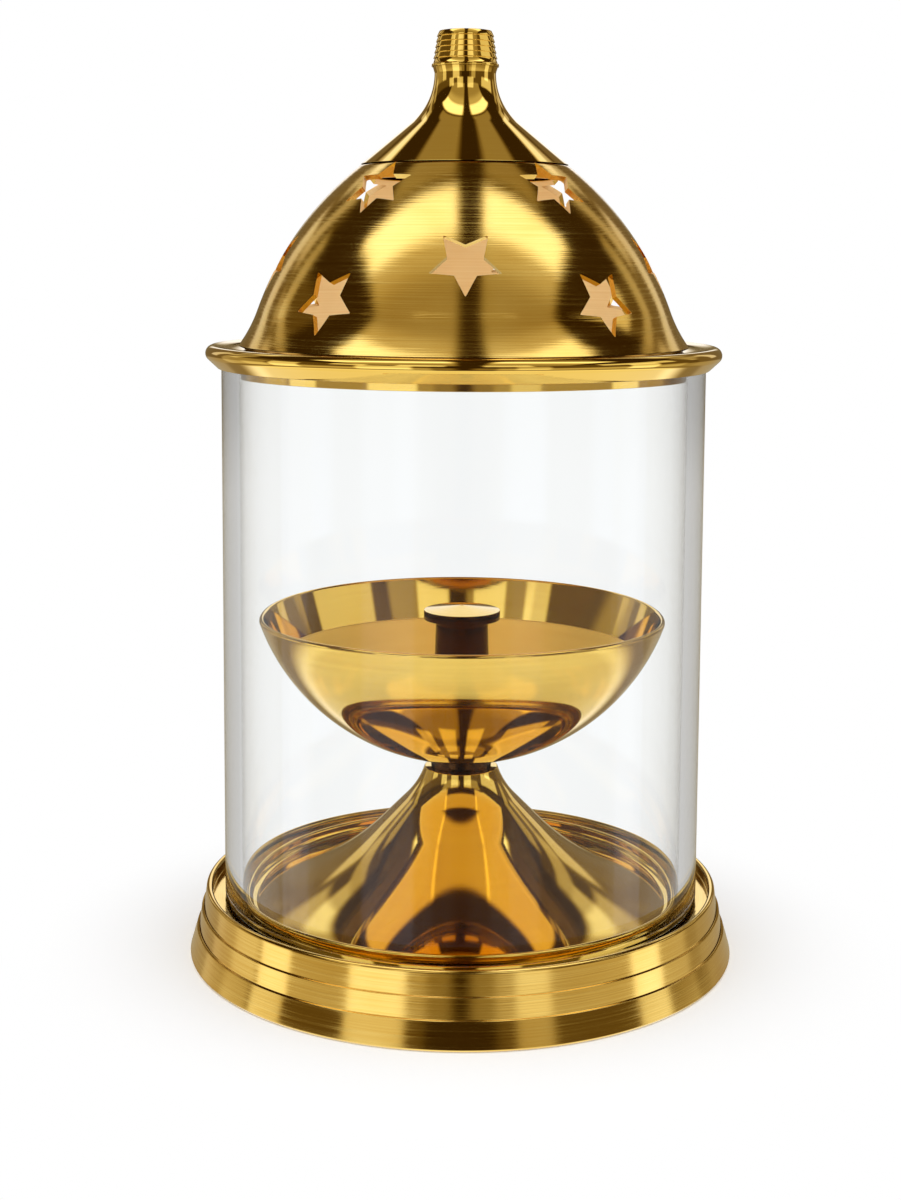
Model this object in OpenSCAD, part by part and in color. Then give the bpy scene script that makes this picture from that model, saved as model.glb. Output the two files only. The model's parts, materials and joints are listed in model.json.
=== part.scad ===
// Akhand diya: a brass oil lamp with a glass chimney and a pierced, domed brass lid.
// Millimetres, +Z up, origin at the centre of the underside. The front faces -Y.
// Almost every piece is turned or spun, so each is a half section swept around Z:
// in a section, x is the radius and y is the height.

/* [Glass chimney] */
// Outside diameter of the glass tube
glass_d = 83.4; // [70:0.1:110]
// Wall of the glass tube
glass_wall = 3; // [1.5:0.1:5]
// Length of the glass tube
glass_h = 94.6; // [75:0.1:140]
// Radius of the fire-polished edges
glass_edge_r = 1; // [0.2:0.1:1.4]

/* [Base] */
// Gap between the glass and the rim around its seat
seat_gap = 2.2; // [0.5:0.1:6]
// Depth of the glass seat below the middle of the rim bead
seat_depth = 1.4; // [0.8:0.1:2.5]
// Thickness of the rolled bead on the rim
rim_bead_d = 1.1; // [0.6:0.1:2]
// Height of the top band
top_band_h = 3.4; // [2:0.1:8]
// Height of the middle band
middle_band_h = 3.4; // [2:0.1:8]
// Height of the bottom band
bottom_band_h = 4.6; // [3:0.1:10]
// Radius gained down each of the two upper bands
band_taper = 0.45; // [0:0.05:2]
// Radius gained down the bottom band
bottom_taper = 1.2; // [0:0.05:4]
// Width of the ledge at each step
step_w = 0.4; // [0.1:0.05:1.5]
// Chamfer at the bottom edge
foot_chamfer = 0.4; // [0.1:0.05:0.8]
// Wall of the hollow base
base_wall = 2.2; // [1.5:0.1:4]
// Thickness of the shelf that carries the pedestal
shelf_t = 1.5; // [1:0.1:2]
// Width of the shelf under the pedestal
shelf_w = 8.2; // [5:0.1:14]

/* [Pedestal] */
// Height of the pedestal's flat top above its underside
pedestal_h = 23.8; // [18:0.1:40]
// Diameter of the flat top
pedestal_top_d = 12.9; // [11.5:0.1:18]
// Thickness of the spun sheet
pedestal_sheet = 0.9; // [0.5:0.1:1.4]
// Slope of the trumpet just below the top, from the horizontal
flare_slope = 72; // [65:1:85]
// Radius of the trumpet's flare
flare_r = 14; // [8:0.5:16]
// Slope of the dish where it meets the raised lip
dish_end_slope = 12; // [8:1:18]
// Radius of the sweep from flare to lip, as a share of the largest one that leaves a straight stretch
sweep_share = 0.95; // [0.6:0.01:0.97]
// Height of the dish's underside above the shelf, at the lip
dish_clear = 0.3; // [0.2:0.05:1]
// Height of the raised lip above the underside
lip_h = 3.6; // [3:0.1:6]
// Height of the lip's top above the glass seat
lip_above_seat = 2.2; // [0.5:0.1:3]
// Gap between the lip and the bore of the glass
lip_gap = 0.5; // [0.2:0.1:2]
// Gap between the lip and its recess in the base
recess_gap = 0.2; // [0.1:0.05:0.4]

/* [Bowl] */
// Gap between the bowl's rim and the bore of the glass
bowl_gap = 3.2; // [2:0.1:12]
// Depth of the bowl from its rim to its underside
bowl_depth = 25.4; // [15:0.1:32]
// Thickness of the bowl
bowl_sheet = 0.9; // [0.6:0.1:2]
// Diameter of the foot ring between bowl and pedestal
foot_d = 10.6; // [8.5:0.1:11.4]
// Height of the foot ring at its middle
foot_h = 1.5; // [0.8:0.1:5]

/* [Wick holder] */
// Diameter of the disc
disc_d = 13.4; // [11:0.1:24]
// Thickness of the disc's edge
disc_t = 1.65; // [1:0.05:4]
// Rise of the disc's low conical top
disc_cone_h = 0.85; // [0.2:0.05:3]
// Height of the disc's upper edge above the bowl's rim
disc_rise = 1; // [-2:0.1:12]
// Diameter of the stem below the disc
stem_top_d = 9.1; // [8:0.1:10.8]
// Diameter of the stem at its foot
stem_foot_d = 10.4; // [8.5:0.1:14]
// Gap between the stem's foot and the bowl's lowest point
stem_foot_gap = 3.1; // [2.8:0.1:6]

/* [Lid] */
// Gap between the lid's ring and the glass, inside and outside
lid_gap = 0.3; // [0.15:0.05:0.8]
// Depth of the ring's spigot inside the glass
spigot_h = 3.15; // [2:0.05:10]
// Wall of the spigot
spigot_wall = 1.2; // [0.8:0.1:3]
// Drop of the ring's lip outside the glass
lip_drop = 1.8; // [0.5:0.1:4]
// Thickness of the flange
flange_t = 2.1; // [1.6:0.1:4]
// Overhang of the flange beyond the glass
flange_overhang = 2.7; // [2.3:0.1:8]
// Radius of the flange's rounded edge
flange_edge_r = 1.35; // [0.5:0.05:1.5]
// Distance of the dome's waist inside the outside of the glass
dome_inset = 6.2; // [5.8:0.1:9]
// Height of the waist above the flange
waist_h = 6; // [3:0.1:8]
// Height of the dome from the flange to its seam with the spire
dome_h = 30.8; // [26:0.1:44]
// Radius of the seam
seam_r = 17.6; // [14:0.1:20]
// Radius of the dome's arc
dome_arc_r = 55.5; // [45:0.5:90]
// Radius of the flare at the dome's foot
dome_flare_r = 24; // [16:0.5:30]
// Thickness of the dome and the spire
lid_sheet = 1; // [0.7:0.1:1.3]

/* [Stars] */
// Angle from one column of stars to the next
star_step = 40; // [36:1:45]
// Columns of stars on each side of the front one
star_columns = 4; // [0:1:4]
// Radius to the tips of a star
star_r = 6.1; // [3:0.05:6.5]
// Radius to the inner corners of a five-pointed star
star_inner_r = 3.05; // [1:0.05:3.2]
// Points of a star in the upper row
upper_points = 6; // [5:1:8]
// Radius to the inner corners of a star in the upper row
upper_inner_r = 3.3; // [1:0.05:3.5]
// Lower row, along the dome from its waist
low_row_l = 2.4; // [2.2:0.1:4]
// Middle row, along the dome from its waist
middle_row_l = 9.4; // [8.5:0.1:11]
// Gap between the upper row and the seam
upper_row_gap = 0.2; // [0.1:0.1:2]

/* [Spire and knob] */
// Height of the spire from the seam to the knob
spire_h = 16.5; // [14.5:0.1:24]
// How far the spire's edge stands proud of the dome
spire_proud = 0.2; // [0:0.05:0.5]
// Depth of the spire's spigot inside the dome
spire_spigot_h = 2.5; // [1:0.1:4]
// Diameter of the spire's neck
neck_d = 10.5; // [10.3:0.1:12]
// Radius gained by the neck up to the knob
neck_flare = 0.3; // [0:0.05:0.5]
// Height of the neck
neck_h = 1; // [0.6:0.1:2]
// Radius of the spire's flare
spire_flare_r = 11; // [9:0.5:12]
// Thickness of the plate that closes the neck
neck_plate_t = 1.6; // [1:0.1:2.5]
// Diameter of the ring at the knob's foot
knob_foot_d = 11.5; // [10.5:0.1:14]
// Height of the ring at the knob's foot
knob_foot_h = 0.45; // [0.2:0.05:1.5]
// Diameter of the knob's top
knob_top_d = 9.5; // [8:0.1:14]
// Height of the knob
knob_h = 6; // [4.5:0.1:14]
// Number of ribs on the knob
knob_ribs = 6; // [2:1:10]
// Depth of each rib
rib_depth = 0.25; // [0.05:0.05:0.5]

/* [Fasteners] */
// Diameter of the bowl's threaded stud
stud_d = 6; // [5:0.5:6]
// Length of the stud below the pedestal's top
stud_l = 6; // [4:0.5:9]
// Diameter of the tie rod
rod_d = 4; // [3:0.5:4.5]
// Room left past the end of each screw in the bush
thread_runout = 0.4; // [0.1:0.1:1]
// Play of each screw thread, on the radius
thread_play = 0.05; // [0.02:0.01:0.1]
// Play of each clearance hole, on the radius
hole_play = 0.2; // [0.1:0.05:0.4]
// Diameter of the pin that locates the wick holder
pin_d = 5; // [3:0.1:6]
// Running fit of the wick holder on its pin, on the radius
pin_fit = 0.06; // [0.02:0.01:0.1]
// Height of the pin above the stud's head
pin_h = 9; // [5:0.1:12]
// Diameter of the stud's head inside the bowl
head_d = 8; // [7:0.1:8.5]
// Height of the stud's head above the bowl's lowest point
head_h = 1.6; // [1:0.1:2.2]
// Length of the bush inside the pedestal
bush_l = 9.5; // [7.5:0.1:12]
// Gap between the bush and the pedestal's wall at the top
bush_gap = 0.55; // [0.2:0.05:1]
// Thickness of the clamp plate under the base
clamp_plate_t = 1.2; // [0.8:0.1:1.5]
// How far the clamp plate reaches under the shelf
clamp_lap = 3; // [1.5:0.1:4]
// Diameter of the clamp washer
washer_d = 10; // [9:0.1:14]
// Thickness of the clamp washer
washer_t = 0.8; // [0.5:0.1:1]
// Size of the clamp nut across its flats
nut_af = 7; // [6:0.1:8]
// Height of the clamp nut
nut_h = 3.2; // [2:0.1:3.4]
// Length of the tie rod left below the nut
rod_tail = 0.6; // [0.2:0.1:0.7]
// Diameter of the knob's screw
screw_d = 4; // [3:0.5:4]
// Length of the knob's screw inside the knob
screw_l = 4; // [2:0.1:4]
// Diameter of the screw's head
screw_head_d = 7; // [6:0.1:7.4]
// Height of the screw's head
screw_head_h = 2.2; // [1.5:0.1:3]
// Diameter of the screw's washer
screw_washer_d = 8; // [7.4:0.1:8]
// Thickness of the screw's washer
screw_washer_t = 0.8; // [0.4:0.1:1]

/* [Hidden] */
$fn = 128;
polished_brass = "goldenrod";
satin_brass = "darkgoldenrod";
plain_steel = "silver";
clear_glass = [0.85, 0.92, 0.95, 0.35];
// How far a cutting shape runs past what it cuts
over = 1;

// Heights of the base
middle_z = bottom_band_h + middle_band_h;
rim_z = middle_z + top_band_h;
seat_z = rim_z - seat_depth;

// Radii of the glass, and of what stands around it on the base
glass_r = glass_d / 2;
bore_r = glass_r - glass_wall;
rim_bead_r = rim_bead_d / 2;
rim_in_r = glass_r + seat_gap;
rim_r = rim_in_r + rim_bead_d;
middle_r = rim_r + band_taper + step_w;
bottom_r = middle_r + band_taper + step_w;
base_r = bottom_r + bottom_taper;
glass_top_z = seat_z + glass_h;
edge_r = min(glass_edge_r, glass_wall * 0.45);

// The pedestal stands in a recess whose floor puts its lip above the glass seat
lip_r = bore_r - lip_gap;
recess_r = lip_r + recess_gap;
shelf_z = seat_z + lip_above_seat - lip_h;
shelf_in_r = recess_r - shelf_w;
pedestal_top_z = shelf_z + pedestal_h;
pedestal_top_r = pedestal_top_d / 2;
lip_wall_r = lip_r - pedestal_sheet;
flare_c = [pedestal_top_r + flare_r * sin(flare_slope), pedestal_top_z + flare_r * cos(flare_slope)];
// The dish ends at the lip's foot. The largest sweep that ends there touches the flare's circle
dish_edge = [lip_wall_r, shelf_z + pedestal_sheet + dish_clear];
dish_up = slope_normal(dish_end_slope);
to_edge = dish_edge - flare_c;
sweep_limit = (to_edge * to_edge - pow(flare_r, 2)) / (-2 * (to_edge * dish_up + flare_r));
sweep_r = sweep_share * sweep_limit;
sweep_c = dish_edge + sweep_r * dish_up;
// Slope of the straight stretch that touches both the flare's circle and the sweep's
to_sweep = sweep_c - flare_c;
cone_slope = asin((sweep_r - flare_r) / norm(to_sweep)) - atan2(to_sweep[1], to_sweep[0]);

// Bowl: part of a hollow ball on the foot ring
bowl_r = bore_r - bowl_gap;
bowl_bottom_z = pedestal_top_z + foot_h;
ball_r = (bowl_r * bowl_r + bowl_depth * bowl_depth) / (2 * bowl_depth);
ball_c = [0, bowl_bottom_z + ball_r];
bowl_rim_z = bowl_bottom_z + bowl_depth;
rim_angle = -acos(bowl_r / ball_r) * sign(ball_r - bowl_depth);
bowl_floor_z = bowl_bottom_z + bowl_sheet;

// Stud, pin and wick holder
stud_r = stud_d / 2;
stud_end_z = pedestal_top_z - stud_l;
head_z = bowl_floor_z + head_h;
pin_r = pin_d / 2;
pin_top_z = head_z + pin_h;
disc_z = bowl_rim_z + disc_rise;
stem_foot_z = bowl_floor_z + stem_foot_gap;

// Bush and clamp under the pedestal
bush_r = pedestal_top_r - pedestal_sheet - bush_gap;
bush_top_z = pedestal_top_z - pedestal_sheet;
bush_end_z = bush_top_z - bush_l;
stud_bore_floor_z = stud_end_z - thread_runout;
rod_r = rod_d / 2;
rod_top_z = stud_bore_floor_z - thread_runout;
plate_top_z = shelf_z - shelf_t;
plate_z = plate_top_z - clamp_plate_t;
washer_z = plate_z - washer_t;
nut_z = washer_z - nut_h;

// Lid
spigot_r = bore_r - lid_gap;
ring_in_r = spigot_r - spigot_wall;
lip_in_r = glass_r + lid_gap;
flange_z = glass_top_z + flange_t;
flange_c = [glass_r + flange_overhang - flange_edge_r, flange_z - flange_edge_r];
waist = [glass_r - dome_inset, flange_z + waist_h];
seam = [seam_r, flange_z + dome_h];
// Centre of the arc of radius dome_arc_r through the waist and the seam, on the axis side
waist_to_seam = seam - waist;
half_chord = norm(waist_to_seam) / 2;
dome_c = (waist + seam) / 2
    - sqrt(dome_arc_r * dome_arc_r - half_chord * half_chord)
    * [waist_to_seam[1], -waist_to_seam[0]] / norm(waist_to_seam);
waist_angle = atan2(waist[1] - dome_c[1], waist[0] - dome_c[0]);
seam_angle = atan2(seam[1] - dome_c[1], seam[0] - dome_c[0]);
dome_flare_c = polar(dome_c, dome_arc_r + dome_flare_r, waist_angle);
seam_hole_r = dome_c[0] + sqrt(pow(dome_arc_r - lid_sheet, 2) - pow(seam[1] - dome_c[1], 2));

// Spire: a straight cone from the seam that runs into the neck's flare
spire_edge = [seam_r + spire_proud, seam[1]];
spire_top_z = seam[1] + spire_h;
neck_r = neck_d / 2;
neck_z = spire_top_z - neck_h;
spire_flare_c = [neck_r + spire_flare_r, neck_z];
to_flare = spire_flare_c - spire_edge;
spire_slope = 180 - asin(spire_flare_r / norm(to_flare)) - atan2(to_flare[1], to_flare[0]);
spire_spigot_r = seam_hole_r - hole_play / 2;
plate_under_z = spire_top_z - neck_plate_t;
screw_washer_z = plate_under_z - screw_washer_t;
screw_head_z = screw_washer_z - screw_head_h;
screw_r = screw_d / 2;
knob_top_z = spire_top_z + knob_h;

// Point at distance r from c, at angle a from the section's x axis
function polar(c, r, a) = c + r * [cos(a), sin(a)];

// Outward direction of a surface that slopes down and outwards at angle s
function slope_normal(s) = [sin(s), cos(s)];

// Curved strip of sheet in a section: from radius r to r + t about c, between two angles
module sheet_arc(c, r, t, from, to) {
    reach = 2 * (r + t);
    intersection() {
        difference() {
            translate(c) circle(r = r + t);
            translate(c) circle(r = r);
        }
        polygon([c, polar(c, reach, from), polar(c, reach, (from + to) / 2), polar(c, reach, to)]);
    }
}

// Rectangle in a section from one corner to the opposite one
module box2(low, high) {
    translate(low) square(high - low);
}

// Plain ring or disc about Z
module ring(r, z, h, hole_r = 0) {
    difference() {
        translate([0, 0, z]) cylinder(r = r, h = h);
        if (hole_r > 0) translate([0, 0, z - over]) cylinder(r = hole_r, h = h + 2 * over);
    }
}

// Stepped, hollow base with a beaded rim, a flat seat for the glass and a shelf for the pedestal
module base_ring() {
    bands = [
        [base_r - foot_chamfer, 0], [base_r, foot_chamfer],
        [bottom_r, bottom_band_h], [bottom_r - step_w, bottom_band_h],
        [middle_r, middle_z], [middle_r - step_w, middle_z],
        [rim_r, rim_z]
    ];
    inside = [
        [rim_in_r, rim_z], [rim_in_r, seat_z],
        [recess_r, seat_z], [recess_r, shelf_z], [shelf_in_r, shelf_z], [shelf_in_r, plate_top_z],
        [rim_r - base_wall, plate_top_z], [bottom_r - base_wall, 0]
    ];
    color(satin_brass) rotate_extrude() {
        polygon(concat(bands, inside));
        translate([rim_r - rim_bead_r, rim_z]) circle(r = rim_bead_r);
    }
}

// Section below the trumpet's upper face, or below the one a sheet's thickness deeper, to the radius edge_r.
// The flare and the sweep are circles cut out of a polygon with a corner inside each of them.
// The sweep is cut out only as far as the radius wall_r.
module under_trumpet(depth, wall_r, edge_r, low_z) {
    outward = slope_normal(cone_slope);
    flare_end = flare_c - (flare_r + depth) * outward;
    sweep_start = sweep_c - (sweep_r + depth) * outward;
    in_sweep = sweep_c - 0.8 * sweep_r * outward;
    difference() {
        polygon([
            [0, pedestal_top_z - depth], [pedestal_top_r, pedestal_top_z - depth],
            flare_c, flare_end, sweep_start, in_sweep,
            [edge_r, in_sweep[1]], [edge_r, low_z], [0, low_z]
        ]);
        translate(flare_c) circle(r = flare_r + depth);
        intersection() {
            translate(sweep_c) circle(r = sweep_r + depth);
            box2([0, low_z], [wall_r, sweep_c[1]]);
        }
    }
}

// Spun trumpet that flares to a dish with a raised lip, which also centres the glass
module pedestal() {
    lip_top_z = shelf_z + lip_h;
    color(polished_brass) difference() {
        rotate_extrude() difference() {
            under_trumpet(0, lip_wall_r, lip_r, shelf_z);
            box2([lip_wall_r - pedestal_sheet, lip_top_z], [lip_r + over, sweep_c[1]]);
            under_trumpet(pedestal_sheet, lip_r, lip_wall_r, shelf_z - over);
        }
        translate([0, 0, bush_top_z - over])
            cylinder(r = stud_r + hole_play, h = pedestal_sheet + 2 * over);
    }
}

// Turned bush inside the pedestal: the bowl screws in from above, the tie rod from below
module stem_bush() {
    color(polished_brass) difference() {
        ring(bush_r, bush_end_z, bush_l);
        translate([0, 0, stud_bore_floor_z])
            cylinder(r = stud_r + thread_play, h = bush_top_z - stud_bore_floor_z + over);
        translate([0, 0, bush_end_z - over])
            cylinder(r = rod_r + thread_play, h = bush_l);
    }
}

// Threaded rod that pulls the pedestal down on to the base
module tie_rod() {
    rod_end_z = nut_z - rod_tail;
    color(plain_steel) ring(rod_r, rod_end_z, rod_top_z - rod_end_z);
}

// Disc under the base's shelf that the rod pulls up
module clamp_plate() {
    color(plain_steel)
        ring(shelf_in_r + clamp_lap, plate_z, clamp_plate_t, rod_r + hole_play);
}

// Washer between the clamp plate and the nut
module clamp_washer() {
    color(plain_steel) ring(washer_d / 2, washer_z, washer_t, rod_r + hole_play);
}

// Hexagon nut on the tie rod
module clamp_nut() {
    color(plain_steel) difference() {
        translate([0, 0, nut_z]) cylinder(d = nut_af / cos(30), h = nut_h, $fn = 6);
        translate([0, 0, nut_z - over]) cylinder(r = rod_r + thread_play, h = nut_h + 2 * over);
    }
}

// Foot ring, hollowed on top to the bowl's curve
module bowl_foot() {
    color(polished_brass) difference() {
        ring(foot_d / 2, pedestal_top_z, foot_h + over, stud_r + hole_play);
        translate([0, 0, ball_c[1]]) sphere(r = ball_r);
    }
}

// Thin spun oil bowl with a rounded rim
module bowl() {
    lip_c = polar(ball_c, ball_r - bowl_sheet / 2, rim_angle);
    color(polished_brass) difference() {
        rotate_extrude() {
            sheet_arc(ball_c, ball_r - bowl_sheet, bowl_sheet, -90, rim_angle);
            translate(lip_c) circle(r = bowl_sheet / 2);
        }
        translate([0, 0, bowl_bottom_z - over])
            cylinder(r = stud_r + hole_play, h = bowl_sheet + 2 * over);
    }
}

// Stud through the bowl: threaded below, with a head and a locating pin inside the bowl
module bowl_stud() {
    color(polished_brass) {
        ring(stud_r, stud_end_z, head_z - stud_end_z);
        intersection() {
            ring(head_d / 2, bowl_bottom_z, head_z - bowl_bottom_z);
            translate([0, 0, ball_c[1]]) sphere(r = ball_r - bowl_sheet);
        }
        ring(pin_r, head_z - over, pin_h + over);
    }
}

// Turned wick holder: a disc with a low conical top on a stem that drops over the pin
module wick_holder() {
    outline = [
        [0, stem_foot_z], [stem_foot_d / 2, stem_foot_z],
        [stem_top_d / 2, disc_z - disc_t], [disc_d / 2, disc_z - disc_t],
        [disc_d / 2, disc_z], [0, disc_z + disc_cone_h]
    ];
    color(polished_brass) difference() {
        rotate_extrude() polygon(outline);
        translate([0, 0, stem_foot_z - over])
            cylinder(r = pin_r + pin_fit, h = pin_top_z - stem_foot_z + over);
    }
}

// Plain glass tube with fire-polished edges
module glass_chimney() {
    color(clear_glass) rotate_extrude() {
        box2([bore_r, seat_z + edge_r], [glass_r, glass_top_z - edge_r]);
        for (end = [[seat_z, 1], [glass_top_z, -1]]) {
            middle = end[0] + end[1] * edge_r;
            box2([bore_r + edge_r, min(end[0], middle)], [glass_r - edge_r, max(end[0], middle)]);
            for (x = [bore_r + edge_r, glass_r - edge_r]) translate([x, middle]) circle(r = edge_r);
        }
    }
}

// Cast ring at the lid's foot: a flange with a rounded edge, a channel for the glass and a spigot
module lid_ring() {
    lip_z = glass_top_z - lip_drop;
    lip = [
        [lip_in_r, flange_z - flange_edge_r], [lip_in_r, lip_z], [lip_in_r + lid_gap, lip_z],
        polar(flange_c, flange_edge_r, -40), flange_c
    ];
    color(polished_brass) rotate_extrude() {
        box2([ring_in_r, glass_top_z], [flange_c[0], flange_z]);
        box2([ring_in_r, glass_top_z - spigot_h], [spigot_r, glass_top_z]);
        polygon(lip);
        translate(flange_c) circle(r = flange_edge_r);
    }
}

// Star with one point down
module star(points, inner_r) {
    step = 180 / points;
    polygon([for (i = [0:2 * points - 1]) (i % 2 == 0 ? star_r : inner_r) * [sin(i * step), -cos(i * step)]]);
}

// Prism that cuts one star, at angle turn around the lid and angle rise on the dome's arc
module star_cut(turn, rise, points, inner_r) {
    on_dome = polar(dome_c, dome_arc_r, rise);
    depth = 3 * lid_sheet;
    rotate([0, 0, turn]) translate([0, -on_dome[0], on_dome[1]]) rotate([90 - rise, 0, 0])
        translate([0, 0, -depth]) linear_extrude(2 * depth) star(points, inner_r);
}

// Section inside the dome's outer face, or inside the one a sheet's thickness deeper.
// The foot's flare is a circle cut out, and the dome's arc is a circle added.
module inside_dome(depth, low_z, high_z) {
    arc_r = dome_arc_r - depth;
    foot = polar(dome_c, arc_r, waist_angle);
    top_angle = asin((high_z - dome_c[1]) / arc_r);
    top = polar(dome_c, arc_r, top_angle);
    far = 2 * dome_arc_r;
    difference() {
        polygon([[0, low_z], [dome_flare_c[0], low_z], dome_flare_c, foot, top, [0, high_z]]);
        translate(dome_flare_c) circle(r = dome_flare_r + depth);
    }
    intersection() {
        translate(dome_c) circle(r = arc_r);
        polygon([
            dome_c, polar(dome_c, far, waist_angle),
            polar(dome_c, far, (waist_angle + top_angle) / 2), polar(dome_c, far, top_angle)
        ]);
        box2([0, low_z], [far, high_z]);
    }
}

// Spun dome, pierced with stars: columns of one star alternate with columns of two
module lid_dome() {
    degrees_per_mm = 180 / (PI * dome_arc_r);
    low_angle = waist_angle + low_row_l * degrees_per_mm;
    middle_angle = waist_angle + middle_row_l * degrees_per_mm;
    upper_angle = seam_angle - (star_r + upper_row_gap) * degrees_per_mm;
    color(satin_brass) difference() {
        rotate_extrude() difference() {
            inside_dome(0, flange_z, seam[1]);
            inside_dome(lid_sheet, flange_z - over, seam[1] + over);
        }
        for (column = [-star_columns:star_columns]) {
            single = column % 2 == 0;
            star_cut(column * star_step, single ? middle_angle : low_angle, 5, star_inner_r);
            if (!single) star_cut(column * star_step, upper_angle, upper_points, upper_inner_r);
        }
    }
}

// Spun spire: a cone that runs up into a neck, with a spigot that plugs into the dome
module lid_spire() {
    flare_start = spire_flare_c - spire_flare_r * slope_normal(spire_slope);
    inward = -lid_sheet * slope_normal(spire_slope);
    past_edge = spire_edge + over * [cos(spire_slope), -sin(spire_slope)];
    spigot_in_r = spire_spigot_r - lid_sheet;
    color(polished_brass) difference() {
        rotate_extrude() {
            difference() {
                polygon([
                    [0, seam[1]], spire_edge, flare_start, spire_flare_c,
                    [neck_r, neck_z], [neck_r + neck_flare, spire_top_z], [0, spire_top_z]
                ]);
                translate(spire_flare_c) circle(r = spire_flare_r);
                intersection() {
                    difference() {
                        polygon([
                            [0, seam[1] - 2 * over], past_edge + inward, flare_start + inward,
                            spire_flare_c, [0, neck_z]
                        ]);
                        translate(spire_flare_c) circle(r = spire_flare_r + lid_sheet);
                    }
                    box2([0, seam[1] - 2 * over], [spire_edge[0], plate_under_z]);
                }
            }
            box2([spigot_in_r, seam[1] - spire_spigot_h], [spire_spigot_r, seam[1] + lid_sheet]);
        }
        translate([0, 0, plate_under_z - over])
            cylinder(r = screw_r + hole_play, h = neck_plate_t + 2 * over);
    }
}

// Turned knob: a foot ring and a taper of ribs, each widest at its lower edge
module lid_knob() {
    ribs_z = spire_top_z + knob_foot_h;
    rib_h = (knob_top_z - ribs_z) / knob_ribs;
    rib_base_r = knob_foot_d / 2 - rib_depth / 2;
    rib_taper = (rib_base_r - knob_top_d / 2) / knob_ribs;
    ribs = [for (i = [0:knob_ribs - 1]) each [
        [rib_base_r - i * rib_taper, ribs_z + i * rib_h],
        [rib_base_r - (i + 1) * rib_taper - rib_depth, ribs_z + (i + 1) * rib_h]
    ]];
    color(polished_brass) difference() {
        rotate_extrude() polygon(concat(
            [[0, spire_top_z], [knob_foot_d / 2, spire_top_z], [knob_foot_d / 2, ribs_z]],
            ribs,
            [[0, knob_top_z]]
        ));
        translate([0, 0, spire_top_z - over])
            cylinder(r = screw_r + thread_play, h = screw_l + 2 * over);
    }
}

// Screw from inside the spire up into the knob
module knob_screw() {
    color(plain_steel) {
        ring(screw_r, screw_head_z, spire_top_z + screw_l - screw_head_z);
        ring(screw_head_d / 2, screw_head_z, screw_head_h);
    }
}

// Washer between the screw's head and the neck's plate
module knob_washer() {
    color(plain_steel)
        ring(screw_washer_d / 2, screw_washer_z, screw_washer_t, screw_r + hole_play);
}

base_ring();
pedestal();
stem_bush();
tie_rod();
clamp_plate();
clamp_washer();
clamp_nut();
bowl_foot();
bowl();
bowl_stud();
wick_holder();
glass_chimney();
lid_ring();
lid_dome();
lid_spire();
lid_knob();
knob_screw();
knob_washer();
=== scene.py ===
# %% [markdown]
# # An akhand diya
# An akhand diya is a brass lamp whose flame is kept burning: an oil bowl on a pedestal, sheltered by a
# glass chimney and a pierced lid. Nearly every piece was turned or spun on a lathe, so nearly every piece
# here is made the same way: a half section is drawn in edit mode and spun around the lamp's axis.

# %% Load the CAD frame
import json
import math
import bmesh
import bpy
from mathutils import Matrix, Vector

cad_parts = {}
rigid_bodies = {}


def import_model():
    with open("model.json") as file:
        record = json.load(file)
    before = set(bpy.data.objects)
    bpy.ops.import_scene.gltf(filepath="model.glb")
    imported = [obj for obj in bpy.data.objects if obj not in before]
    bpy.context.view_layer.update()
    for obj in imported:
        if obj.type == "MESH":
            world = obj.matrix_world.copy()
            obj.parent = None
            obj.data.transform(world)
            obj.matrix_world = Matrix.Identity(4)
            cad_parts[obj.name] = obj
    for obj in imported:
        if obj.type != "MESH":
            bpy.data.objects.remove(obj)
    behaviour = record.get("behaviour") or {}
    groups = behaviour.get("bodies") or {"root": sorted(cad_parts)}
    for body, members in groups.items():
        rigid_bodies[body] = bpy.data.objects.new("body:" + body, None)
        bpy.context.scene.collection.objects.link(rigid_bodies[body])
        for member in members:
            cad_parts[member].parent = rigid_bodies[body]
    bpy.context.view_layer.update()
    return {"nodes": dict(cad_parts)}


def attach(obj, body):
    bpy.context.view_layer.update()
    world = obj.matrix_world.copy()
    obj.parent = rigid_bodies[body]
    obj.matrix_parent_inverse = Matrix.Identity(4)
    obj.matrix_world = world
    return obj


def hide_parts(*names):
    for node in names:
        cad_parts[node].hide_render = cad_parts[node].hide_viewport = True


for leftover in list(bpy.data.objects):
    bpy.data.objects.remove(leftover)
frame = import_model()
MM = 0.001
print("CAD nodes:", sorted(frame["nodes"]))


# %% [markdown]
# ## Drawing a section
# A lathe worker thinks in half sections: a radius and a height. One vertex is enough to start a section.
# Extruding it draws a straight line, and spinning it about a centre in the section's plane draws an arc.
# A curve object could do the same, but edges in a mesh can be spun straight into the finished wall.

# %% Points on circles
def on_circle(centre, radius, degrees):
    a = math.radians(degrees)
    return (centre[0] + radius * math.cos(a), centre[1] + radius * math.sin(a))


def angle_to(centre, point):
    return math.degrees(math.atan2(point[1] - centre[1], point[0] - centre[0]))


print("angles count up from the outward direction: straight up is", angle_to((0, 0), (0, 1)), "degrees")

# %% A pen for sections, and the lathe
WELD_MM = 0.002


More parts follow.
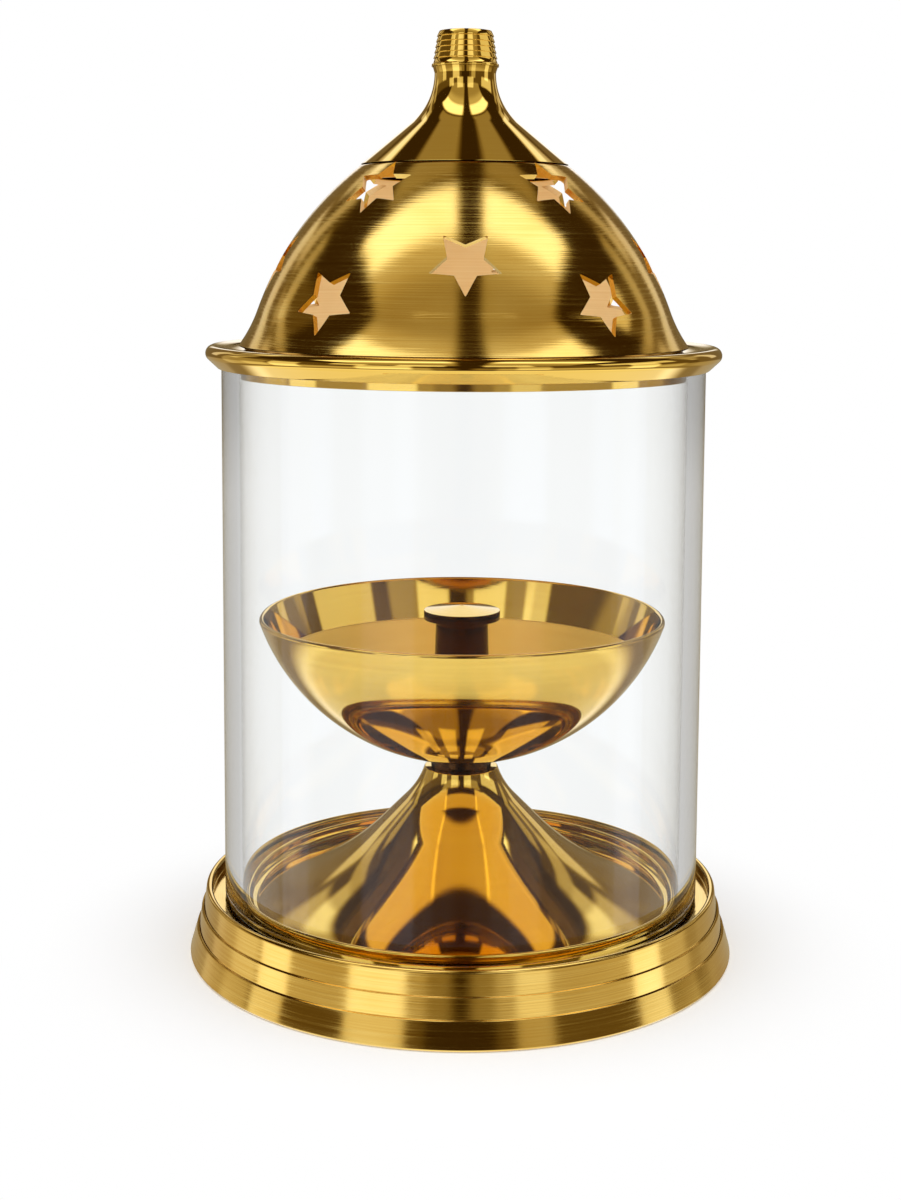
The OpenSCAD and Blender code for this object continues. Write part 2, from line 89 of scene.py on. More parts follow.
class Section:
    """A half section in the XZ plane: x is the radius and z the height, both in millimetres."""

    def __init__(self, name, radius, height):
        bpy.ops.object.select_all(action="DESELECT")
        bpy.ops.mesh.primitive_plane_add(size=MM)
        self.piece = bpy.context.object
        self.piece.name = name
        self.piece.data.name = name
        bpy.ops.object.mode_set(mode="EDIT")
        bpy.ops.mesh.select_mode(type="VERT")
        bpy.ops.mesh.merge(type="CENTER")
        bpy.ops.transform.translate(value=(radius * MM, 0, height * MM))
        self.start = (radius, height)
        self.pen = (radius, height)

    def line(self, radius, height):
        step = ((radius - self.pen[0]) * MM, 0, (height - self.pen[1]) * MM)
        bpy.ops.mesh.extrude_region_move(TRANSFORM_OT_translate={"value": step})
        self.pen = (radius, height)

    def lines(self, *points):
        for radius, height in points:
            self.line(radius, height)

    def arc(self, centre, degrees, steps):
        """Turns the pen about a centre, counter-clockwise where degrees is positive."""
        middle = (centre[0] * MM, 0, centre[1] * MM)
        bpy.ops.mesh.spin(steps=steps, angle=math.radians(degrees), center=middle, axis=(0, 1, 0))
        self.pen = on_circle(centre, math.dist(centre, self.pen), angle_to(centre, self.pen) + degrees)

    def close(self):
        self.line(*self.start)

    def turn(self, steps=192):
        """Spins the section once around the lamp's axis and returns the finished wall."""
        bpy.ops.mesh.select_all(action="SELECT")
        bpy.ops.mesh.spin(steps=steps, angle=math.tau, center=(0, 0, 0), axis=(0, 0, 1))
        bpy.ops.mesh.select_all(action="SELECT")
        bpy.ops.mesh.remove_doubles(threshold=WELD_MM * MM)
        bpy.ops.mesh.normals_make_consistent(inside=False)
        bpy.ops.object.mode_set(mode="OBJECT")
        return self.piece


# %% Finishing a piece
SMOOTH_BELOW = 40


def pick(piece):
    """Makes the piece the active object, and the only selected one."""
    bpy.ops.object.select_all(action="DESELECT")
    piece.select_set(True)
    bpy.context.view_layer.objects.active = piece


def apply_modifier(piece, kind, **settings):
    pick(piece)
    modifier = piece.modifiers.new(kind.title(), kind)
    for key, value in settings.items():
        setattr(modifier, key, value)
    bpy.ops.object.modifier_apply(modifier=modifier.name)


def soften(piece, width_mm, segments=2, sharper_than=35):
    """Rounds the sharp edges a little, as polishing does, and smooths the shading between them."""
    if width_mm:
        apply_modifier(piece, "BEVEL", width=width_mm * MM, segments=segments, limit_method="ANGLE",
                       angle_limit=math.radians(sharper_than), harden_normals=False)
    pick(piece)
    bpy.ops.object.shade_smooth_by_angle(angle=math.radians(SMOOTH_BELOW))
    apply_modifier(piece, "WEIGHTED_NORMAL", keep_sharp=True, weight=50)


def place(piece, material, body, slot, *nodes):
    """Gives the piece its finish, and lets it stand for its CAD nodes on their body."""
    piece.data.materials.clear()
    piece.data.materials.append(material)
    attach(piece, body)
    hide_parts(*nodes)
    corners = [vertex.co / MM for vertex in piece.data.vertices]
    wide = max(corner.x for corner in corners)
    low = min(corner.z for corner in corners)
    high = max(corner.z for corner in corners)
    print(f"{piece.name}: radius {wide:.2f} mm, height {low:.2f} to {high:.2f} mm,",
          len(piece.data.polygons), "faces")


def second_finish(piece, material, belongs):
    """Gives another finish to the faces for which belongs(face) is true."""
    piece.data.materials.append(material)
    chosen = [face for face in piece.data.polygons if belongs(face)]
    for face in chosen:
        face.material_index = 1
    print(f"{piece.name}: {len(chosen)} faces in {material.name}")


# %% [markdown]
# ## Finishes
# Each finish is built from shader nodes on Object coordinates, which are the lamp's own metres.
# One function adds a node with its settings and its links, and one turns a hex colour to linear light.

# %% Helpers for shader nodes
def colour(hex_code):
    """An sRGB hex colour as linear red, green, blue and alpha."""
    parts = [int(hex_code[i:i + 2], 16) / 255 for i in (1, 3, 5)]
    return [p / 12.92 if p <= 0.04045 else ((p + 0.055) / 1.055) ** 2.4 for p in parts] + [1]


def add_node(tree, kind, inputs=None, **settings):
    """Adds a node. A value that is an output socket becomes a link, and any other is set on the socket."""
    node = tree.nodes.new(kind)
    for key, value in settings.items():
        setattr(node, key, value)
    for key, value in (inputs or {}).items():
        if isinstance(value, bpy.types.NodeSocket):
            tree.links.new(value, node.inputs[key])
        else:
            node.inputs[key].default_value = value
    return node


def new_material(name):
    """An empty material, its node tree and its output node."""
    material = bpy.data.materials.new(name)
    material.use_nodes = True
    tree = material.node_tree
    tree.nodes.clear()
    output = add_node(tree, "ShaderNodeOutputMaterial")
    return material, tree, output


print("the middle grey #808080 is", round(colour("#808080")[0], 3), "in linear light")


# %% [markdown]
# ### Brass
# Brass of about two thirds copper, spun from sheet or turned from bar, has five finishes on this lamp.
# One recipe serves them all, because only its numbers differ: a noise that is long around the lamp and short
# along it gives the streaks that a lathe leaves, and a wide soft noise gives patches of tone.
# A real streak is a few hundredths of a millimetre wide, so it is drawn coarser, at about a third of a
# millimetre, to show.

# %% A recipe for turned brass
STREAK_LENGTH_MM = 40
STREAK_DEPTH_MM = 0.02
PATCH_MM = 14.3


def turned_brass(name, tones, roughness, spread, streak_mm, bump, anisotropic=0.0, metallic=1.0):
    """Brass with streaks around the axis. Roughness varies by spread, and colour between the two tones."""
    light, deep = tones
    material, tree, output = new_material(name)
    place_in = add_node(tree, "ShaderNodeTexCoord").outputs["Object"]
    x, y, z = add_node(tree, "ShaderNodeSeparateXYZ", {0: place_in}).outputs
    flat = add_node(tree, "ShaderNodeCombineXYZ", {0: x, 1: y}).outputs[0]
    radius = add_node(tree, "ShaderNodeVectorMath", {0: flat}, operation="LENGTH").outputs["Value"]
    along = add_node(tree, "ShaderNodeMath", {0: z, 1: radius}, operation="SUBTRACT")
    across = add_node(tree, "ShaderNodeMath", {0: along.outputs[0], 1: 1 / (streak_mm * MM)},
                      operation="MULTIPLY")
    around_lamp = add_node(tree, "ShaderNodeVectorMath", {0: flat, "Scale": 1 / (STREAK_LENGTH_MM * MM)},
                           operation="SCALE").outputs["Vector"]
    lane_x, lane_y, _ = add_node(tree, "ShaderNodeSeparateXYZ", {0: around_lamp}).outputs
    lane = add_node(tree, "ShaderNodeCombineXYZ", {0: lane_x, 1: lane_y, 2: across.outputs[0]})
    streaks = add_node(tree, "ShaderNodeTexNoise", {
        "Vector": lane.outputs[0], "Scale": 1.0, "Detail": 3.0, "Roughness": 0.6}).outputs[0]
    patches = add_node(tree, "ShaderNodeTexNoise", {
        "Vector": place_in, "Scale": 1 / (PATCH_MM * MM), "Detail": 2.0}).outputs[0]
    both = add_node(tree, "ShaderNodeMath", {0: patches, 1: streaks}, operation="ADD")
    lightness = add_node(tree, "ShaderNodeMapRange", {0: both.outputs[0], 1: 0.7, 2: 1.3})
    tone = add_node(tree, "ShaderNodeMix", {
        0: lightness.outputs[0], 6: colour(deep), 7: colour(light)}, data_type="RGBA")
    gloss = add_node(tree, "ShaderNodeMapRange", {
        0: streaks, 1: 0.3, 2: 0.7, 3: roughness - spread, 4: roughness + spread})
    relief = add_node(tree, "ShaderNodeBump", {
        "Strength": bump, "Distance": STREAK_DEPTH_MM * MM, "Height": streaks})
    tangent = add_node(tree, "ShaderNodeTangent", direction_type="RADIAL", axis="Z")
    surface = add_node(tree, "ShaderNodeBsdfPrincipled", {
        "Base Color": tone.outputs[2], "Metallic": metallic, "Roughness": gloss.outputs[0],
        "Anisotropic": anisotropic, "Normal": relief.outputs[0], "Tangent": tangent.outputs[0]})
    tree.links.new(surface.outputs[0], output.inputs[0])
    return material


# %% Brass finishes
BRASS = ("#F4CD66", "#EDC25A")
STREAKED_BRASS = ("#F7D274", "#E3B552")
PALE_BRASS = ("#FBDDA4", "#F0C888")
OIL_BROWN = ("#4A2C10", "#301B08")
# Buffed on a wheel: a clear mirror, with faint rings that show only in a highlight.
polished_brass = turned_brass("buffed_brass", BRASS, roughness=0.05, spread=0.02, streak_mm=0.35, bump=0.06)
# Rubbed with a fine abrasive while it turned: reflections are drawn out, and broken into level streaks.
satin_brass = turned_brass("lathe_satin_brass", STREAKED_BRASS, roughness=0.1, spread=0.06, streak_mm=0.3,
                           bump=0.6, anisotropic=0.5)
# Left unpolished: a matt skin with hardly a reflection, in a pale colour that is painted light,
# for the light that comes in through the glass.
raw_brass = turned_brass("pickled_brass", PALE_BRASS, roughness=0.55, spread=0.08, streak_mm=0.4,
                         bump=0.3, metallic=0.4)
# Scraped clean: a broad sheen with no mirror image.
scraped_brass = turned_brass("scraped_brass", BRASS, roughness=0.42, spread=0.06, streak_mm=0.5,
                             bump=0.2, metallic=0.55)
# Painted shade: dark brown, and still glossy, on faces that lie under other pieces or face away from the
# light.
oiled_brass = turned_brass("oil_darkened_brass", OIL_BROWN, roughness=0.12, spread=0.04, streak_mm=0.3,
                           bump=0.1)
for finish in (polished_brass, satin_brass, raw_brass, scraped_brass, oiled_brass):
    print("brass finish:", finish.name)


# %% [markdown]
# ### Glass and steel
# The chimney is clear borosilicate tube, fire-polished at its ends. Its own colour is too weak to see in a
# wall of three millimetres, so it is left white, with the usual index of refraction of 1.47. Drawing the
# tube leaves a slow ripple. Specular Tint weakens the reflections, which would lay a grey veil over the
# brass behind. The hidden fasteners are plain turned steel, a soft grey sheen with a fine grain.

# %% Glass and steel finishes
RIPPLE_MM = 25
RIPPLE_DEPTH_MM = 0.05
GRAIN_MM = 2 / 3


def clear_tube_glass():
    material, tree, output = new_material("borosilicate_glass")
    place_in = add_node(tree, "ShaderNodeTexCoord").outputs["Object"]
    ripple = add_node(tree, "ShaderNodeTexNoise", {
        "Vector": place_in, "Scale": 1 / (RIPPLE_MM * MM), "Detail": 1.0})
    relief = add_node(tree, "ShaderNodeBump", {
        "Strength": 0.02, "Distance": RIPPLE_DEPTH_MM * MM, "Height": ripple.outputs[0]})
    surface = add_node(tree, "ShaderNodeBsdfPrincipled", {
        "Base Color": colour("#FCFDFD"), "Roughness": 0.0, "IOR": 1.47, "Transmission Weight": 1.0,
        "Specular Tint": colour("#A8A8A8"), "Normal": relief.outputs[0]})
    tree.links.new(surface.outputs[0], output.inputs[0])
    return material


def turned_steel():
    material, tree, output = new_material("turned_steel")
    place_in = add_node(tree, "ShaderNodeTexCoord").outputs["Object"]
    grain = add_node(tree, "ShaderNodeTexNoise", {
        "Vector": place_in, "Scale": 1 / (GRAIN_MM * MM), "Detail": 2.0})
    gloss = add_node(tree, "ShaderNodeMapRange", {0: grain.outputs[0], 1: 0.3, 2: 0.7, 3: 0.28, 4: 0.42})
    surface = add_node(tree, "ShaderNodeBsdfPrincipled", {
        "Base Color": colour("#B9B8B4"), "Metallic": 1.0, "Roughness": gloss.outputs[0]})
    tree.links.new(surface.outputs[0], output.inputs[0])
    return material


glass = clear_tube_glass()
steel = turned_steel()
for node_name, finish in {
    "stem_bush": polished_brass, "bowl_stud": polished_brass, "tie_rod": steel, "clamp_plate": steel,
    "clamp_washer": steel, "clamp_nut": steel, "knob_screw": steel, "knob_washer": steel,
}.items():
    mesh = frame["nodes"][node_name].data
    mesh.materials.clear()
    mesh.materials.append(finish)
print("hidden fasteners keep their CAD shape, in", steel.name, "and", polished_brass.name)


# %% [markdown]
# ## Base
# The base is a heavy turned ring with three bands, each a little wider than the one above. A bead runs
# around its rim, a flat seat inside the bead carries the glass, and a shelf below the seat carries the
# pedestal. It could be stacked from cylinders, but one section gives every step its true edge.

# %% Base ring
BORE_R = 38.7
PLAY = 0.3
RIM_Z = 11.4
SEAT_Z = 10.0
SHELF_Z = 8.6
SHELF_T = 1.5
SHELF_HOLE_R = 30.2
HOLLOW_FOOT_R = 44.5
HOLLOW_TOP_R = 42.8
FOOT_R = 47.9
CHAMFER = 0.4
BAND_STEP = 0.4
LOW_BAND_TOP = (46.7, 4.6)
MIDDLE_BAND_TOP = (45.85, 8.0)
RIM_R = 45.0
BEAD_R = 0.55
seat_in_r = BORE_R - PLAY
shelf_under_z = SHELF_Z - SHELF_T

section = Section("base_ring_turned", HOLLOW_FOOT_R, 0)
section.lines((FOOT_R - CHAMFER, 0), (FOOT_R, CHAMFER))
section.lines(LOW_BAND_TOP, (LOW_BAND_TOP[0] - BAND_STEP, LOW_BAND_TOP[1]))
section.lines(MIDDLE_BAND_TOP, (MIDDLE_BAND_TOP[0] - BAND_STEP, MIDDLE_BAND_TOP[1]))
section.line(RIM_R, RIM_Z)
section.arc((RIM_R - BEAD_R, RIM_Z), 180, 14)
section.lines((RIM_R - 2 * BEAD_R, SEAT_Z), (seat_in_r, SEAT_Z), (seat_in_r, SHELF_Z))
section.lines((SHELF_HOLE_R, SHELF_Z), (SHELF_HOLE_R, shelf_under_z), (HOLLOW_TOP_R, shelf_under_z))
section.close()
base = section.turn(256)
soften(base, 0.1)
place(base, satin_brass, "base", "satin_brass", "base_ring")


# %% [markdown]
# ## Pedestal
# The pedestal is spun from sheet: a short flare under the bowl, a straight stretch, and one long sweep that
# runs out into a dish. There the sheet turns up into a lip, which stands on the base's shelf, inside the
# glass. A mirror shows the least kink, so every arc has to meet its neighbour at a tangent, and the centres
# are worked out for that. A drawn curve would be quicker, but wouldn't keep the CAD's tangents.

# %% The pedestal's arcs
SHEET = 0.9
TOP_Z = 32.4
TOP_R = 6.45
STUD_HOLE_R = 3.2
FLARE_R = 14
FLARE_SLOPE = 72
LIP_R = 38.2
LIP_H = 3.6
DISH_RISE = 0.3
DISH_END_SLOPE = 12
SWEEP_SHARE = 0.95
FILLET_R = 1.2
flare_c = (TOP_R + FLARE_R * math.sin(math.radians(FLARE_SLOPE)),
           TOP_Z + FLARE_R * math.cos(math.radians(FLARE_SLOPE)))
lip_wall_r = LIP_R - SHEET
lip_edge_c = (LIP_R - SHEET / 2, SHELF_Z + LIP_H - SHEET / 2)
dish_edge = Vector((lip_wall_r, SHELF_Z + SHEET + DISH_RISE))
dish_up = Vector((math.sin(math.radians(DISH_END_SLOPE)), math.cos(math.radians(DISH_END_SLOPE))))
to_edge = dish_edge - Vector(flare_c)
# A sweep as large as sweep_limit would touch the flare's circle, and leave no straight stretch.
sweep_limit = (FLARE_R ** 2 - to_edge.length_squared) / (2 * (to_edge.dot(dish_up) + FLARE_R))
sweep_r = SWEEP_SHARE * sweep_limit
sweep_c = tuple(dish_edge + sweep_r * dish_up)
fillet_down = math.sqrt((sweep_r - FILLET_R) ** 2 - (lip_wall_r - FILLET_R - sweep_c[0]) ** 2)
fillet_c = (lip_wall_r - FILLET_R, sweep_c[1] - fillet_down)
fillet_angle = angle_to(sweep_c, fillet_c)
lip_foot_angle = -math.degrees(math.acos((lip_wall_r - sweep_c[0]) / (sweep_r + SHEET)))
cone_slope = (math.degrees(math.asin((sweep_r - FLARE_R) / math.dist(flare_c, sweep_c)))
              - angle_to(flare_c, sweep_c))
inner_top_angle = 180 + math.degrees(math.asin((flare_c[1] - TOP_Z + SHEET) / (FLARE_R + SHEET)))
print(f"sweep of {sweep_r:.1f} mm, straight stretch at {cone_slope:.1f} degrees")

# %% Pedestal
section = Section("pedestal_spun", STUD_HOLE_R, TOP_Z - SHEET)
section.lines((STUD_HOLE_R, TOP_Z), (TOP_R, TOP_Z))
section.arc(flare_c, FLARE_SLOPE - cone_slope, 48)
section.line(*on_circle(sweep_c, sweep_r, 270 - cone_slope))
section.arc(sweep_c, fillet_angle + 90 + cone_slope, 40)
section.arc(fillet_c, -fillet_angle, 10)
section.line(lip_wall_r, lip_edge_c[1])
section.arc(lip_edge_c, -180, 10)
section.lines((LIP_R, SHELF_Z), (lip_wall_r, SHELF_Z))
section.line(*on_circle(sweep_c, sweep_r + SHEET, lip_foot_angle))
section.arc(sweep_c, -90 - cone_slope - lip_foot_angle, 40)
section.line(*on_circle(flare_c, FLARE_R + SHEET, 270 - cone_slope))
section.arc(flare_c, inner_top_angle - (270 - cone_slope), 48)
section.close()
pedestal = section.turn(256)
soften(pedestal, 0.15)
place(pedestal, polished_brass, "base", "polished_brass", "pedestal")


# %% [markdown]
# ## Bowl
# The oil bowl is spun from sheet as part of a hollow ball with a rounded rim. Inside, a straight wall runs
# down to a narrow ledge, and the floor below it is scraped. A cut ball with a Solidify modifier would be
# close, but a section can also carry the rim and the ledge. The bowl stands on a short foot ring, painted
# dark brown as shade under the bowl, and both screw down on to the pedestal.

# %% Bowl
BOWL_RIM_R = 35.5
BOWL_DEPTH = 25.4
FOOT_RING_H = 1.5
FLOOR_T = 0.7
WALL_FOOT = (32.0, 52.6)
LEDGE_ANGLE = -31.0
ball_r = (BOWL_RIM_R ** 2 + BOWL_DEPTH ** 2) / (2 * BOWL_DEPTH)
ball_c = (0, TOP_Z + FOOT_RING_H + ball_r)
floor_r = ball_r - FLOOR_T
rim_angle = -math.degrees(math.acos(BOWL_RIM_R / ball_r))
outer_hole_angle = -math.degrees(math.acos(STUD_HOLE_R / ball_r))
inner_hole_angle = -math.degrees(math.acos(STUD_HOLE_R / floor_r))
rim_c = on_circle(ball_c, ball_r - SHEET / 2, rim_angle)

section = Section("bowl_spun", *on_circle(ball_c, ball_r, outer_hole_angle))
section.arc(ball_c, rim_angle - outer_hole_angle, 72)
section.arc(rim_c, 180, 10)
section.line(*WALL_FOOT)
section.line(*on_circle(ball_c, floor_r, LEDGE_ANGLE))
section.arc(ball_c, inner_hole_angle - LEDGE_ANGLE, 60)
section.close()
bowl = section.turn(256)
soften(bowl, 0)
place(bowl, polished_brass, "oil_bowl", "polished_brass", "bowl")


def on_bowl_floor(face):
    from_middle = (face.center / MM - Vector((0, 0, ball_c[1]))).length
    return face.center.z < WALL_FOOT[1] * MM and from_middle < ball_r - SHEET / 2


second_finish(bowl, scraped_brass, on_bowl_floor)

# %% Foot ring
FOOT_RING_R = 5.3
foot_top_z = ball_c[1] - math.sqrt(ball_r ** 2 - FOOT_RING_R ** 2)
section = Section("bowl_foot_turned", STUD_HOLE_R, TOP_Z)
section.lines((FOOT_RING_R, TOP_Z), (FOOT_RING_R, foot_top_z))
section.line(*on_circle(ball_c, ball_r, outer_hole_angle))
section.close()
foot = section.turn(128)
soften(foot, 0.2, 3)
# Painted shade: the whole foot ring is dark brown, as the gap under the bowl is dark.
place(foot, oiled_brass, "foot", "polished_brass", "bowl_foot")


# %% [markdown]
# ## Wick holder
# A turned disc on a stem stands in the middle of the bowl and holds the wicks. Its stem is hollow and drops
# over a pin. The disc is a low cone with the lathe's centre mark. Every face that doesn't face up is painted
# dark brown as shade, and the top stays bright. A cone and a cylinder could be joined, but one section also
# gives the fillet between them.

# %% Wick holder
PIN_TOP_Z = 45.4
SOCKET_R = 2.56
STEM_FOOT = (5.2, 37.9)
STEM_TOP = (4.6, 57.6)
THROAT_R = 4.55
THROAT_FILLET_R = 1.0
DISC_R = 6.7
DISC_UNDER_Z = 58.7
DISC_Z = 60.3
CONE_TOP = (0.3, 61.11)
CENTRE_MARK = (0.12, 61.0)
throat_z = DISC_UNDER_Z - THROAT_FILLET_R
section = Section("wick_holder_turned", 0, PIN_TOP_Z)
section.lines((SOCKET_R, PIN_TOP_Z), (SOCKET_R, STEM_FOOT[1]), STEM_FOOT, STEM_TOP, (THROAT_R, throat_z))
section.arc((THROAT_R + THROAT_FILLET_R, throat_z), -90, 8)
section.lines((DISC_R, DISC_UNDER_Z), (DISC_R, DISC_Z), CONE_TOP, CENTRE_MARK, (0, CENTRE_MARK[1]))
wick_holder = section.turn(128)
soften(wick_holder, 0.12)
place(wick_holder, polished_brass, "wick", "polished_brass", "wick_holder")


# Painted shade: every face that doesn't face up gets the dark brown finish, and only the top stays bright.
def below_disc_top(face):
    return face.normal.z < 0.7


second_finish(wick_holder, oiled_brass, below_disc_top)


# %% [markdown]
# ## Glass chimney
# The chimney is a plain tube with fire-polished ends. It rests on the base's seat, just outside the
# pedestal's lip. A thick cylinder with bevelled edges would do, but the section is just as short: four
# quarter circles with straight lines between them.

# %% Glass chimney
GLASS_R = 41.7
GLASS_TOP_Z = 104.6
EDGE_R = 1.0
in_r = BORE_R + EDGE_R
out_r = GLASS_R - EDGE_R
low_z = SEAT_Z + EDGE_R
high_z = GLASS_TOP_Z - EDGE_R
section = Section("chimney_tube", BORE_R, low_z)
section.arc((in_r, low_z), 90, 8)
for quarter, centre in enumerate(((out_r, low_z), (out_r, high_z), (in_r, high_z))):
    section.line(*on_circle(centre, EDGE_R, 270 + 90 * quarter))
    section.arc(centre, 90, 8)
section.close()
chimney = section.turn(256)
soften(chimney, 0)
place(chimney, glass, "chimney", "clear_glass", "glass_chimney")


# %% [markdown]
# ## Lid
# The lid is built from a cast ring, a spun dome, a spun spire and a turned knob. The ring has a channel that
# sits on the glass, with a spigot inside it and a skirt outside. Its flange is slightly hollow between the
# dome's foot and the rounded edge. All of that is one section, where stacked tori would leave seams.

# %% Lid ring
FLANGE_Z = 106.7
FLANGE_REACH = 2.7
FLANGE_EDGE_R = 1.35
FLANGE_HOLLOW = ((42.3, 0.12), (41.2, 0.3), (40.0, 0.3), (39.0, 0.1), (38.4, 0))
SPIGOT_T = 1.2
SPIGOT_H = 3.15
SKIRT_T = 0.3
SKIRT_H = 1.8
spigot_r = BORE_R - PLAY
spigot_in_r = spigot_r - SPIGOT_T
spigot_low_z = GLASS_TOP_Z - SPIGOT_H
skirt_in_r = GLASS_R + PLAY
skirt_low_z = GLASS_TOP_Z - SKIRT_H
flange_c = (GLASS_R + FLANGE_REACH - FLANGE_EDGE_R, FLANGE_Z - FLANGE_EDGE_R)

section = Section("lid_ring_cast", spigot_in_r, spigot_low_z)
section.lines((spigot_r, spigot_low_z), (spigot_r, GLASS_TOP_Z), (skirt_in_r, GLASS_TOP_Z))
section.lines((skirt_in_r, skirt_low_z), (skirt_in_r + SKIRT_T, skirt_low_z))
section.line(*on_circle(flange_c, FLANGE_EDGE_R, -40))
section.arc(flange_c, 130, 20)
for radius, sunk in FLANGE_HOLLOW:
    section.line(radius, FLANGE_Z - sunk)
section.line(spigot_in_r, FLANGE_Z)
section.close()
lid_ring = section.turn(256)
soften(lid_ring, 0.1)
place(lid_ring, polished_brass, "lid", "polished_brass", "lid_ring")


# %% [markdown]
# ### Dome
# The dome is one arc from the waist to the seam, with a flare at its foot. Stars are sawn through it in rows,
# five-pointed ones below and six-pointed ones near the seam, and light and warm air leave through them. The
# wall is turned first and the stars are cut afterwards with one Boolean, because the cut edges then run
# square to the surface, as a saw leaves them. Its inside was never polished, and its pale colour is painted
# light, for the light that comes in through the glass.

# %% Dome wall
WALL = 1.0
DOME_ARC_R = 55.5
DOME_FLARE_R = 24
SEAM = (17.6, FLANGE_Z + 30.8)
WAIST = (GLASS_R - 6.2, FLANGE_Z + 6.0)
chord = (SEAM[0] - WAIST[0], SEAM[1] - WAIST[1])
half_chord = math.hypot(*chord) / 2
reach = math.sqrt(DOME_ARC_R ** 2 - half_chord ** 2) / (2 * half_chord)
dome_c = ((WAIST[0] + SEAM[0]) / 2 - reach * chord[1], (WAIST[1] + SEAM[1]) / 2 + reach * chord[0])
waist_angle = angle_to(dome_c, WAIST)
seam_angle = angle_to(dome_c, SEAM)
dome_flare_c = on_circle(dome_c, DOME_ARC_R + DOME_FLARE_R, waist_angle)
foot_drop = dome_flare_c[1] - FLANGE_Z
foot_angle = 180 + math.degrees(math.asin(foot_drop / DOME_FLARE_R))
inner_foot_angle = 180 + math.degrees(math.asin(foot_drop / (DOME_FLARE_R + WALL)))
inner_seam_angle = math.degrees(math.asin((SEAM[1] - dome_c[1]) / (DOME_ARC_R - WALL)))
seam_hole_r = on_circle(dome_c, DOME_ARC_R - WALL, inner_seam_angle)[0]

section = Section("lid_dome_spun", *on_circle(dome_flare_c, DOME_FLARE_R, foot_angle))
section.arc(dome_flare_c, 180 + waist_angle - foot_angle, 12)
section.arc(dome_c, seam_angle - waist_angle, 40)
section.line(seam_hole_r, SEAM[1])
section.arc(dome_c, waist_angle - inner_seam_angle, 40)
section.arc(dome_flare_c, inner_foot_angle - 180 - waist_angle, 12)
section.close()
dome = section.turn(256)
print(f"dome: seam hole radius {seam_hole_r:.2f} mm, waist at {waist_angle:.1f} degrees")

# %% Star cutters
STAR_R = 6.1
TIP_ROUND = 0.3
CUT_DEPTH = 6


def star_cutter(points, notch_r):
    """A prism with one point of the star down: a polygon with every other corner drawn in."""
    bpy.ops.object.select_all(action="DESELECT")
    bpy.ops.mesh.primitive_circle_add(vertices=2 * points, radius=STAR_R * MM, fill_type="NGON")
    star = bpy.context.object
    bpy.ops.object.mode_set(mode="EDIT")
    bpy.ops.mesh.select_mode(type="VERT")
    bpy.ops.mesh.select_all(action="DESELECT")
    outline = bmesh.from_edit_mesh(star.data)
    for vertex in outline.verts:
        step = round(math.atan2(vertex.co.x, -vertex.co.y) * points / math.pi)
        vertex.select = step % 2 == 1
    outline.select_flush_mode()
    bmesh.update_edit_mesh(star.data)
    bpy.ops.transform.resize(value=[notch_r / STAR_R] * 3, center_override=(0, 0, 0))
    bpy.ops.mesh.select_all(action="INVERT")
    bpy.ops.mesh.bevel(offset=TIP_ROUND * MM, segments=3, affect="VERTICES")
    bpy.ops.mesh.select_all(action="SELECT")
    bpy.ops.transform.translate(value=(0, 0, -CUT_DEPTH / 2 * MM))
    bpy.ops.mesh.extrude_region_move(TRANSFORM_OT_translate={"value": (0, 0, CUT_DEPTH * MM)})
    bpy.ops.mesh.select_all(action="SELECT")
    bpy.ops.mesh.normals_make_consistent(inside=False)
    bpy.ops.object.mode_set(mode="OBJECT")
    return star


five_points = star_cutter(5, 3.05)
six_points = star_cutter(6, 3.3)
print("star cutters:", len(five_points.data.vertices), "and", len(six_points.data.vertices), "corners")

# %% Cut the stars
COLUMN_TURN = 40
degrees_per_mm = 180 / (math.pi * DOME_ARC_R)
low_row = (five_points, waist_angle + 2.4 * degrees_per_mm)
middle_row = (five_points, waist_angle + 9.4 * degrees_per_mm)
upper_row = (six_points, seam_angle - (STAR_R + 0.2) * degrees_per_mm)
cutters = []
for column in range(-4, 5):
    for star, rise in ([middle_row] if column % 2 == 0 else [low_row, upper_row]):
        radius, height = on_circle(dome_c, DOME_ARC_R, rise)
        cutter = star.copy()
        cutter.data = star.data.copy()
        bpy.context.collection.objects.link(cutter)
        cutter.data.transform(
            Matrix.Rotation(math.radians(COLUMN_TURN * column), 4, "Z")
            @ Matrix.Translation((0, -radius * MM, height * MM))
            @ Matrix.Rotation(math.radians(90 - rise), 4, "X"))
        cutters.append(cutter)
star_count = len(cutters)
bpy.ops.object.select_all(action="DESELECT")
for cutter in cutters:
    cutter.select_set(True)
bpy.context.view_layer.objects.active = cutters[0]
bpy.ops.object.join()
apply_modifier(dome, "BOOLEAN", operation="DIFFERENCE", solver="EXACT", object=cutters[0])
for used in (cutters[0], five_points, six_points):
    bpy.data.objects.remove(used)
soften(dome, 0)
print("stars cut through the dome:", star_count)
place(dome, satin_brass, "lid", "satin_brass", "lid_dome")


# %% The dome's unpolished inside
# The inside's matt, unpolished skin is its own, and its pale colour is painted light, for the light that
# comes in through the glass.
def inside_dome(face):
    outward = Vector((face.center.x, face.center.y, 0)).normalized()
    return face.normal.dot(outward) < -0.2


second_finish(dome, raw_brass, inside_dome)

# %% [markdown]
# ### Spire and knob
# The spire plugs into the dome with a short spigot and stands a hair proud at the seam. It sweeps up into a
# neck, and a screw from inside holds the knob on it. The knob's ribs are a row of cuts with one leaning tool,
# so they are drawn in a loop. An array of rings would be heavier, and wouldn't taper.

